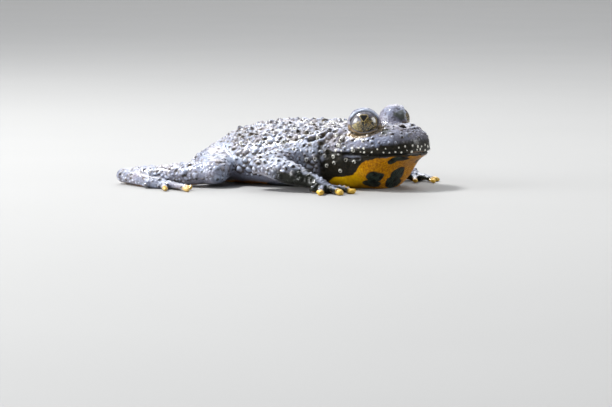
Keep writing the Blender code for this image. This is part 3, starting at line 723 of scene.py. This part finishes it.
def wart_places(at, draw):
    """Seeded (index, radius) pairs of the warts, and of the grains between them."""
    amount = wart_amount(at)
    order = draw.permutation(len(at.points))
    chance, size = draw.random(len(at.points)), draw.random(len(at.points))
    big = amount * ease(0.25, 0.6, amount) * (1 - 0.75 * at.head) * (1 - 0.85 * at.limbs)
    warts, grains = [], []
    for ((low, high), tried, spacing), where, listed in (
        (BIG_WARTS, big, warts), (MIDDLE_WARTS, amount, warts), (GRAINS, (1 - at.flat) * (1 - at.lip), grains)
    ):
        candidates = order[(chance < tried * where)[order]]
        listed += spread(at.points, candidates, low + (high - low) * size**1.5, spacing, warts)
    return warts, grains


def mark(mask, near, values):
    mask[near] = np.maximum(mask[near], values)


def add_warts(at, draw, height, masks):
    """Raises warts and grains, and marks the domes (painted paler, a painted highlight), brown tints, painted
    shade on the warts' lower sides, pores and pale rings.
    """
    warts, grains = wart_places(at, draw)
    ringed = (0.06 + 0.25 * ease(2.0, 7.0, at.x) * ease(11.0, 9.0, at.x)) * (1 - 0.9 * at.limbs)
    for index, radius in warts:
        lift = radius * draw.uniform(*WART_LIFT) * (1 - 0.35 * at.head[index])
        lift = lift * (1 - 0.35 * at.limbs[index] - 0.3 * at.claims["thigh"][index])
        near = at.around(index, 1.4 * radius)
        centre = at.wobbly[index] + 0.22 * radius * draw.normal(size=3)
        away = apart(at.wobbly[near], centre) / radius
        dome = np.clip(1 - away**2, 0, 1)
        height[near] = height[near] + lift * dome ** draw.uniform(*WART_POWER)
        # The dome mask paints the wart paler towards its top, a painted highlight
        mark(masks["wart"], near, dome)
        mark(masks["tint"], near, ease(0.0, 0.3, dome) * (draw.random() < TINTED_SHARE))
        # Painted shade on the lower side of some warts
        aside = SHADED_SIDE - at.normals[index] * (at.normals[index] @ SHADED_SIDE)
        away = apart(at.wobbly[near] - centre, 0.8 * radius * aside) / radius
        mark(masks["wart_shade"], near, ease(0.62, 0.3, away) * (draw.random() < SHADED_SHARE))
        if draw.random() < PORED_SHARE:
            mark(masks["pore"], near, ease(0.17, 0.08, away * radius))
            if draw.random() < ringed[index]:
                ring = np.abs(away * radius - PALE_RING_RADIUS)
                mark(masks["ring"], near, ease(0.1, 0.05, ring))
    for index, radius in grains:
        near = at.around(index, 1.1 * radius)
        away = apart(at.points[near], at.points[index]) / radius
        height[near] += radius * draw.uniform(*GRAIN_LIFT) * np.clip(1 - away**2, 0, 1)


def add_dots(at, draw, height, masks):
    """Raises the ringed spots of the cheeks and the white dots of the upper lip."""
    for side in SIDE_WORDS:
        for spot in RINGED_SPOTS:
            index = at.nearest(mirrored(spot, side))
            near = at.around(index, 0.5)
            away = apart(at.points[near], at.points[index]) / SPOT_RADIUS
            height[near] += SPOT_LIFT * np.clip(1.3 - away**2, 0, 1)
            mark(masks["ring"], near, ease(0.34, 0.12, np.abs(away - 0.68)))
            mark(masks["pore"], near, ease(0.42, 0.25, away))
    for start, spacing, rise in LIP_DOT_ROWS:
        for place in lip_places(start, spacing, rise, draw):
            index = at.nearest(place)
            radius = draw.uniform(*LIP_DOT_SIZE) ** 2
            near = at.around(index, 2.0 * radius)
            shift = at.points[near] - at.points[index] + 0.4 * (at.wobbly[near] - at.points[near])
            away = np.linalg.norm(shift / (1, 1, draw.uniform(0.9, 1.4)), axis=1) / radius
            height[near] += 0.5 * radius * np.clip(1.3 - away**2, 0, 1)
            mark(masks["white"], near, ease(1.2, 0.8, away))
    masks["ring"] *= ease(-0.9, -0.2, at.noise(0.4, 24))


def painted_light_mask(at):
    """Painted light: the flank and thigh paler where they face up, a painted reflection of the sky, the
    shoulder painted lighter where it lies in shade, and the top ridge of the forearm painted paler.
    """
    ragged = 0.9 * at.noise(1.6, 27) + 0.5 * at.noise(0.6, 28)
    flank = ease(1.0, -4.0, at.x + ragged) * ease(-16, -11, at.x)
    flank *= ease(8.5, 4.5, at.z + ragged)
    thigh = ease(0.1, 0.9, at.claims["thigh"] - 0.7 * at.claims["shank"] + 0.25 * ragged)
    thigh *= ease(-18, -14, at.x)
    # Painted light on the shoulder's bulge, which lies in shade
    shoulder = hump(apart(at.folded, BULGES[0][0]), 2.4)
    ridge = at.claims["forearm"] * ease(0.45, 0.75, at.tilt)
    # Paler on the flank and thigh where they face up, a painted reflection of the sky
    pale = np.maximum(0.7 * flank * at.body, thigh) * ease(-0.2, 0.3, at.facing)
    return np.maximum.reduce([pale * ease(1.0, 0.55, at.facing), 0.8 * shoulder, 0.6 * ridge])


def belly_masks(at):
    """The yellow belly and throat, their black patches, and painted light on the rear of the throat."""
    x, z = at.x, at.z
    edge = band(x, THROAT_EDGE) + 0.28 * at.noise(1.3, 8) + 0.14 * at.noise(0.6, 9)
    rear = x + 0.35 * z + (1.1 * at.noise(2.2, 35) + 0.4 * at.noise(0.9, 36)) * ease(1.5, 0.2, z)
    throat = ease(-0.06, 0.1, edge - z) * ease(9.2, 9.8, rear) * at.body
    under = ease(-0.8, -0.95, at.facing + 0.1 * at.noise(1.5, 10)) * ease(1.0, 0.4, z)
    patches = at.noise(4.2, 12) + 0.35 * at.noise(1.7, 13) - 1.4 * ease(8.0, 12.0, x)
    patches = ease(0.14, 0.24, patches)
    for centre, reach in PATCHES:
        away = apart(at.points + 1.2 * at.warp, centre, reach) + 0.2 * at.noise(0.9, 14)
        patches = np.maximum(patches, ease(1.05, 0.9, away))
    # Painted light: a lighter yellow on the rear, upper part of the throat, which lies in shade
    light = ease(16.8, 13.2, x + 0.8 * at.noise(1.5, 21)) * throat
    light *= ease(-0.5, 1.2, z + 0.6 * at.noise(1.6, 34))
    return {"belly": np.maximum(under, throat), "patch": patches, "painted_light_throat": light}


def head_masks(at):
    """The black lips and cheeks with a painted highlight along a fold below the mouth, the dark snout with
    its brown tip, the olive mottles, and painted shade on the far eye's lid.
    """
    x, z = at.x, at.z
    dark = ease(8.6, 9.8, x + 0.3 * (6 - z) + 0.5 * at.noise(1.4, 15)) * ease(20.5, 19.0, x)
    dark *= ease(0.12, -0.12, z - band(x, DARK_TOP) + 0.3 * at.noise(1.1, 16)) * at.body
    jaw = ease(0.05, -0.02, at.mouth) * ease(-0.62, -0.42, at.mouth + 0.1 * at.noise(1.2, 17))
    dark = np.maximum(dark, jaw * at.in_mouth)
    # Painted highlight along the fold below the mouth's corner
    dark *= 1 - 0.7 * hump(near_line(at.folded, FOLD_HIGHLIGHT_LINE), 0.3)
    snout = ease(19.5, 22.5, x + 0.8 * at.noise(0.8, 19))
    snout *= ease(10.6, 8.4, z + 0.7 * at.noise(1.0, 20))
    # Painted shade on the far eye's lid only
    far_lid_shade = ease(1.15, 0.5, apart(at.points, *FAR_LID_SHADE) + 0.45 * at.noise(0.7, 22))
    loreal = ease(1.2, 0.7, apart(at.folded, *LOREAL_PATCH))
    loreal *= ease(-0.1, 0.3, at.noise(0.5, 23))
    return {
        "head": at.head,
        "lip": np.maximum(at.lip, dark),
        "snout": snout * at.body,
        "beak": ease(1.6, 0.7, apart(at.points, *BEAK_PATCH)),
        "olive": np.maximum(far_lid_shade, 0.7 * loreal) * at.body,
    }


def limb_masks(at):
    """The yellow tips of fingers and toes, and the black lower side of the arms."""
    claims = at.claims
    forearm = ease(0.4, 0.15, at.tilt) * claims["forearm"]
    forearm *= ease(2.8, 6.0, at.x + 0.5 * at.noise(1.0, 33))
    hand = ease(0.9, 0.65, at.tilt) * np.maximum(claims["hand"], claims["forearm"])
    hand *= ease(6.0, 9.0, at.x)
    tips = np.maximum(claims["hand_tips"], claims["foot_tips"])
    return {"tips": tips, "limb_under": np.maximum(forearm, hand)}


def sculpt(mesh):
    """Shapes the smooth skin in full, and returns its points and the masks of its colours."""
    draw = np.random.default_rng(SEED)
    at = Survey(mesh)
    masks = {name: np.zeros(len(at.points)) for name in ("wart", "tint", "wart_shade", "pore", "ring", "white")}
    height, crease_shade = broad_forms(at)
    add_warts(at, draw, height, masks)
    add_dots(at, draw, height, masks)
    height += 0.07 * np.maximum(at.claims["thigh"], at.claims["shank"]) * at.noise(0.9, 32)
    height += at.lid_zone * (0.06 * at.noise(0.8, 30) + 0.045 * at.noise(0.4, 31))
    grain = 0.045 * at.noise(0.55, 6) + 0.028 * at.noise(0.3, 7)
    height += grain * (1 - 0.7 * at.flat) * (1 - 0.55 * at.head)
    masks["pale"] = painted_light_mask(at)
    for found in (belly_masks(at), head_masks(at), limb_masks(at)):
        masks.update(found)

    points, lid_masks = carve_eyes(at.points + height[:, None] * at.normals)
    masks.update(lid_masks)
    points, masks["crease_shade"] = carve_nostrils(points, crease_shade)
    points[:, 2] = np.maximum(points[:, 2], 0)
    level, edges = height, read(mesh.edges, "vertices", 2, np.int64)
    for _ in range(10):
        level = neighbour_mean(level, edges)
    # Painted shade: the hollows between warts, where the skin lies below its smoothed level
    masks["hollow"] = ease(-0.01, 0.07, level - height) * (1 - masks["belly"])
    set_points(mesh, points)
    # How far the warts tilt each point up or down, for a painted highlight on their upper sides and painted
    # shade on their lower sides
    painted_light_slope = read(mesh.vertex_normals, "vector", 3)[:, 2] - at.facing
    masks["painted_light_slope"] = painted_light_slope * (1 - masks["belly"]) * (1 - masks["lip"])
    return points, masks


def lip_places(start, spacing, rise, draw):
    """Places round the upper lip, rise above the mouth."""
    half = [(x, head_half_width(x)) for x in np.linspace(LIP_CORNER[1], SNOUT_X, 300)]
    outline = np.array([(x, -y) for x, y in half] + [(x, y) for x, y in half[::-1]])
    along = np.concatenate(([0], np.cumsum(np.linalg.norm(np.diff(outline, axis=0), axis=1))))
    places = []
    for stop in np.arange(start, along[-1], spacing):
        stop += draw.uniform(-0.3, 0.3) * spacing
        if draw.random() < LIP_DOTS_LEFT_OUT:
            continue
        x, y = np.interp(stop, along, outline[:, 0]), np.interp(stop, along, outline[:, 1])
        places.append((x, y, MOUTH_Z + rise + draw.uniform(-0.25, 0.2)))
    return places


def carve_eyes(points):
    """Opens the lids over the eyeballs, and returns the moved points and the lids' masks: painted shade along
    the lid lines, the brown lower lid, and a painted highlight on the upper lid's edge.
    """
    lines, lower_lid, lid_highlight = (np.zeros(len(points)) for _ in range(3))
    for side in SIDE_WORDS:
        matrix = eye_matrix(side, OPENING_FORWARD, OPENING_UP)
        seen = moved(points, matrix.inverted())
        u, v, w = seen.T
        distance = np.linalg.norm(seen, axis=1)
        oval = np.sqrt((u / OPENING_HALF_WIDTH) ** 2 + (v / OPENING_HALF_HEIGHT) ** 2)
        front = ease(-0.2, 0.4, w)
        close = ease(LID_RADIUS + 1.1, LID_RADIUS + 0.6, distance)
        inside = ease(1.03, 0.95, oval) * front * close
        rim = hump(oval - 1.1, 0.06) * front * close
        groove = (hump(oval - 1.24, 0.05) + 0.4 * hump(oval - 1.48, 0.05)) * front * close
        target = distance + 0.1 * rim - 0.12 * groove
        target = target + inside * (np.minimum(distance, EYEBALL_RADIUS - EYE_POCKET) - target)
        lower = near_line(seen[:, :2], LOWER_LID_LINE)
        fold = hump(lower, 0.17) * front * close * (1 - inside)
        ridge = hump(lower - 0.38, 0.2) * front * close * (1 - inside)
        target = target - 0.22 * fold + 0.08 * ridge
        scale = target / np.maximum(distance, 1e-6)
        points = moved(seen * scale[:, None], matrix)
        # Painted shade along the lower lid's fold, the grooves below the opening and the opening's edge,
        # weaker towards the top
        edge = ease(1.03, 0.98, oval) * front * close * (1 - 0.5 * ease(0.0, 0.9, v))
        lines = np.maximum.reduce([lines, fold, 0.7 * groove * ease(0.6, -0.2, v), edge])
        below = ease(0.1, -0.7, v) * ease(0.98, 1.02, oval) * front * close
        lower_lid = np.maximum(lower_lid, below * ease(1.85, 1.55, oval))
        # Painted highlight along the upper lid's edge
        lid_highlight = np.maximum(lid_highlight, ease(0.5, 1.3, v) * hump(oval - 1.04, 0.05) * front * close)
    return points, {"lid_shade_line": lines, "lower_lid": lower_lid, "lid_highlight": lid_highlight}


def carve_nostrils(points, crease_shade):
    """Sinks both nostrils, and returns the moved points and the mask of the creases, with painted shade in
    the nostril pits.
    """
    for side in SIDE_WORDS:
        away = points - np.array(mirrored(NOSTRIL, side))
        axis = np.array(mirrored(NOSTRIL_AXIS, side))
        axis /= np.linalg.norm(axis)
        along = away @ axis
        across = np.linalg.norm((away - along[:, None] * axis) / np.array(NOSTRIL_STRETCH), axis=1)
        pit = ease(0.42, 0.2, across) * ease(1.2, 0.6, np.abs(along))
        rim = hump(across - 0.58, 0.16) * ease(1.4, 0.8, np.abs(along))
        points = points - NOSTRIL_DEPTH * pit[:, None] * axis + NOSTRIL_RIM * rim[:, None] * axis
        crease_shade = np.maximum(crease_shade, pit)
    return points, crease_shade


def paint(mesh, masks):
    for name, values in masks.items():
        layer = mesh.attributes.new(name, "FLOAT", "POINT")
        layer.data.foreach_set("value", values.astype(np.float32))


def unwrap(mesh):
    """Lays the smooth skin out flat, for a baked copy of its colours."""
    obj = new_object("workpiece", mesh)
    bpy.context.view_layer.objects.active = obj
    obj.select_set(True)
    mesh.uv_layers.new(name="OFBake")
    bpy.ops.object.mode_set(mode="EDIT")
    bpy.ops.mesh.select_all(action="SELECT")
    bpy.ops.uv.smart_project(angle_limit=1.15, island_margin=0.004)
    bpy.ops.object.mode_set(mode="OBJECT")
    bpy.data.objects.remove(obj)


class Nodes:
    """A short way to write a node material."""

    def __init__(self, name):
        self.material = bpy.data.materials.new(name)
        self.material.use_nodes = True
        self.tree = self.material.node_tree
        self.shader = self.tree.nodes["Principled BSDF"]

    def feed(self, socket, value):
        """Links a node's output to a socket, or sets a plain value on it."""
        if isinstance(value, bpy.types.NodeSocket):
            self.tree.links.new(value, socket)
        else:
            socket.default_value = value

    def add(self, kind, inputs, **settings):
        node = self.tree.nodes.new(kind)
        for key, value in settings.items():
            setattr(node, key, value)
        for key, value in inputs.items():
            self.feed(node.inputs[key], value)
        return node

    def mask(self, name):
        return self.add("ShaderNodeAttribute", {}, attribute_name=name).outputs["Fac"]

    def noise(self, scale, detail=2.0, seed=0.0, roughness=0.5):
        """Noise with features about scale millimetres wide."""
        place = self.add("ShaderNodeTexCoord", {}).outputs["Object"]
        moved = self.add("ShaderNodeVectorMath", {0: place, 1: (seed, 0, 0)}, operation="ADD").outputs[0]
        return self.add(
            "ShaderNodeTexNoise",
            {"Vector": moved, "Scale": 1 / (scale * MM), "Detail": detail, "Roughness": roughness},
        ).outputs["Fac"]

    def ramp(self, value, low, high, to_low=0.0, to_high=1.0):
        return self.add(
            "ShaderNodeMapRange",
            {"Value": value, "From Min": low, "From Max": high, "To Min": to_low, "To Max": to_high},
        ).outputs["Result"]

    def times(self, a, b):
        return self.add("ShaderNodeMath", {0: a, 1: b}, operation="MULTIPLY").outputs[0]

    def mix(self, share, under, over):
        node = self.add("ShaderNodeMix", {}, data_type="RGBA", blend_type="MIX")
        for key, value in ((0, share), (6, under), (7, over)):
            self.feed(node.inputs[key], value)
        return node.outputs[2]

    def layers(self, colour, rows):
        """Lays colours over one another, each where its mask says so."""
        for name, share, over in rows:
            colour = self.mix(self.times(self.mask(name), share), colour, over)
        return colour

    def finish(self, **inputs):
        for key, value in inputs.items():
            self.feed(self.shader.inputs[key.replace("_", " ").title().replace("Ior", "IOR")], value)
        return self.material


def skin_material():
    nodes = Nodes("skin")
    broad = nodes.ramp(nodes.noise(3.5), 0.3, 0.7)
    fine = nodes.ramp(nodes.noise(0.35, 3.0, 0.1), 0.35, 0.65)
    speck = nodes.ramp(nodes.noise(0.16, 2.0, 0.2), 0.5, 0.75)
    mottle = nodes.ramp(nodes.noise(1.1, 2.0, 0.7), 0.35, 0.6, 0.35, 1)
    colour = nodes.mix(broad, SKIN_COOL, SKIN_WARM)
    colour = nodes.mix(nodes.times(fine, 0.4), colour, SKIN_DEEP)
    colour = nodes.layers(colour, WART_LAYERS)
    colour = nodes.mix(nodes.times(speck, 0.25), colour, SKIN_PALE)
    # Painted shade: the whole head a little darker
    colour = nodes.layers(colour, [("head", 0.24, SKIN_DEEP)])
    # Painted highlight on the upper sides of the warts and painted shade on their lower sides
    painted_light_slope = nodes.mask("painted_light_slope")
    colour = nodes.mix(nodes.ramp(painted_light_slope, 0.08, 0.45, 0, 0.7), colour, SKIN_PALE)
    colour = nodes.mix(nodes.times(nodes.ramp(painted_light_slope, -0.1, -0.5), mottle), colour, SHADE_BROWN)
    colour = nodes.layers(colour, SHADE_LAYERS)
    colour = nodes.mix(nodes.mask("lip"), colour, nodes.mix(fine, DARK_OLIVE, DARK_BROWN))
    # The throat's yellow, with painted light on its rear part
    yellow = nodes.layers(nodes.mix(fine, YELLOW, ORANGE), [("painted_light_throat", 0.8, LIGHT_YELLOW)])
    black = nodes.mix(nodes.ramp(nodes.noise(1.2, 2.0, 0.6), 0.42, 0.62), PATCH_BLACK, PATCH_GREEN)
    colour = nodes.mix(nodes.mask("belly"), colour, nodes.mix(nodes.mask("patch"), yellow, black))
    colour = nodes.layers(colour, TOP_LAYERS)
    wet = nodes.ramp(nodes.mask("belly"), 0, 1, BACK_WETNESS, BELLY_WETNESS)
    for name, wetness in DRY_PARTS:
        wet = nodes.times(wet, nodes.ramp(nodes.mask(name), 0, 1, 1, wetness))
    grain = nodes.noise(0.12, 2.0, 0.3)
    bump = nodes.add("ShaderNodeBump", {"Strength": 0.35, "Distance": 0.04 * MM, "Height": grain}).outputs[0]
    return nodes.finish(
        base_color=colour, roughness=nodes.ramp(fine, 0, 1, 0.3, 0.46), normal=bump,
        coat_weight=wet, coat_roughness=0.06, specular_ior_level=0.15,
    )


def eye_material():
    nodes = Nodes("eye")
    marble = nodes.ramp(nodes.noise(0.42, 3.0, 0.4, 0.65), 0.48, 0.53)
    fleck = nodes.ramp(nodes.noise(0.18, 2.0, 0.5), 0.54, 0.62)
    spot = nodes.ramp(nodes.noise(0.34, 2.0, 0.9), 0.6, 0.64)
    # Painted reflection of the sky on the upper iris, in grey and slate streaks
    upper = nodes.mix(nodes.ramp(nodes.noise(0.5, 3.0, 0.8), 0.45, 0.6), IRIS_GREY, IRIS_SLATE)
    colour = nodes.mix(marble, IRIS_DARK, IRIS_GOLD)
    colour = nodes.mix(nodes.times(fleck, 0.45), colour, IRIS_PALE)
    lower = (("iris_rear", 0.35, IRIS_PALE), ("seam", 1, IRIS_DARK), ("iris_sky_reflection", 1, upper))
    colour = nodes.mix(nodes.times(spot, 0.8), nodes.layers(colour, lower), IRIS_DARK)
    colour = nodes.layers(colour, (("pupil_rim", 1, IRIS_RIM), ("pupil", 1, PUPIL_BLACK)))
    return nodes.finish(
        base_color=colour, roughness=0.3, coat_weight=1.0, coat_roughness=0.03, specular_ior_level=0.5
    )


def build_skin():
    mesh = base_skin()
    skin = new_object("skin", mesh)
    points, masks = sculpt(mesh)
    set_points(mesh, points * MM)
    paint(mesh, masks)
    mesh.shade_smooth()
    mesh.materials.clear()
    mesh.materials.append(skin_material())
    return skin


def eyeball_mesh(material):
    """An eyeball in millimetres that looks along +Z, with its masks."""
    shape = bmesh.new()
    bmesh.ops.create_uvsphere(shape, u_segments=200, v_segments=100, radius=EYEBALL_RADIUS)
    mesh = bpy.data.meshes.new("eyeball")
    shape.to_mesh(mesh)
    shape.free()
    points = read(mesh.vertices, "co", 3)
    across, above, front = points.T
    inside = (above < PUPIL[0][1]) & (above > PUPIL[2][1] + 1.62 * np.abs(across))
    level = np.where(inside, 0, near_line(points[:, :2], PUPIL))
    level = np.where(front > 0, level, 9.0)
    seam = np.abs(across + 0.05 * np.sin(6 * above))
    paint(mesh, {
        "pupil": ease(0.21, 0.17, level),
        "pupil_rim": ease(0.29, 0.24, level),
        "seam": ease(0.12, 0.05, seam) * ease(-0.5, -0.7, above) * (front > 0),
        "iris_rear": ease(-0.4, -1.6, across) * (front > 0),
        # Where the painted reflection of the sky lies on the upper iris
        "iris_sky_reflection": 0.9 * ease(-0.45, -0.05, above - 0.4 * across + 0.2 * noise(points, 0.5, 25)),
    })
    cornea = ease(1.9, 0.6, np.hypot(across, above)) * (front > 0)
    set_points(mesh, points * (1 + 0.03 * cornea)[:, None])
    mesh.shade_smooth()
    mesh.materials.append(material)
    return mesh


def build_eye(side, mesh):
    eye = new_object("eyeball_" + SIDE_WORDS[side], mesh.copy())
    eye.data.transform(Matrix.Scale(MM, 4) @ eye_matrix(side, PUPIL_FORWARD, PUPIL_UP))
    if side == LEFT:
        eye.data.flip_normals()
    return eye


def main():
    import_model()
    skin = build_skin()
    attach(skin, "root")
    flesh = ["torso", "head", "lower_jaw"]
    for word in SIDE_WORDS.values():
        flesh += [f"{part}_{word}" for part in ("upper_arm", "forearm", "hand", "thigh", "shank", "foot")]
    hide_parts(*flesh)
    eyeball = eyeball_mesh(eye_material())
    for side, word in SIDE_WORDS.items():
        eye = build_eye(side, eyeball)
        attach(eye, "root")
        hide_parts("eye_" + word)

    studio()


def studio():
    """The pale floor, the camera and the soft lights."""
    scene = bpy.context.scene
    floor_mesh = bpy.data.meshes.new("floor")
    floor_mesh.from_pydata(FLOOR_CORNERS, [], [(0, 1, 2, 3)])
    nodes = Nodes("floor")
    tone = nodes.mix(nodes.noise(60.0), FLOOR_DARK, FLOOR_LIGHT)
    floor_mesh.materials.append(nodes.finish(base_color=tone, roughness=0.7))
    floor = new_object("floor", floor_mesh)

    level = math.cos(VIEW_ELEVATION)
    right = Vector((math.cos(VIEW_AZIMUTH), math.sin(VIEW_AZIMUTH), 0))
    back = Vector((math.sin(VIEW_AZIMUTH) * level, -math.cos(VIEW_AZIMUTH) * level, math.sin(VIEW_ELEVATION)))
    up = back.cross(right)
    aim = (AIM_RIGHT * right + AIM_UP * up) * MM
    turned = Matrix((right, up, back)).transposed().to_4x4()
    camera = scene.camera = new_object("camera", bpy.data.cameras.new("camera"))
    camera.data.lens = LENS
    camera.data.clip_start, camera.data.clip_end = 0.01, 10
    camera.matrix_world = Matrix.Translation(aim + VIEW_DISTANCE * back) @ turned

    for name, place, size, power, colour in LIGHTS:
        light = bpy.data.lights.new(name, "AREA")
        light.size, light.energy, light.color = size, power, colour
        place = Vector(place)
        turned = place.to_track_quat("Z", "Y").to_matrix().to_4x4()
        new_object(name, light).matrix_world = Matrix.Translation(place) @ turned
    world = bpy.data.worlds.new("world")
    world.use_nodes = True
    sky = world.node_tree.nodes["Background"]
    sky.inputs["Color"].default_value = SKY_COLOUR
    sky.inputs["Strength"].default_value = SKY_STRENGTH
    scene.world = world
    scene.view_settings.view_transform = "Standard"


main()
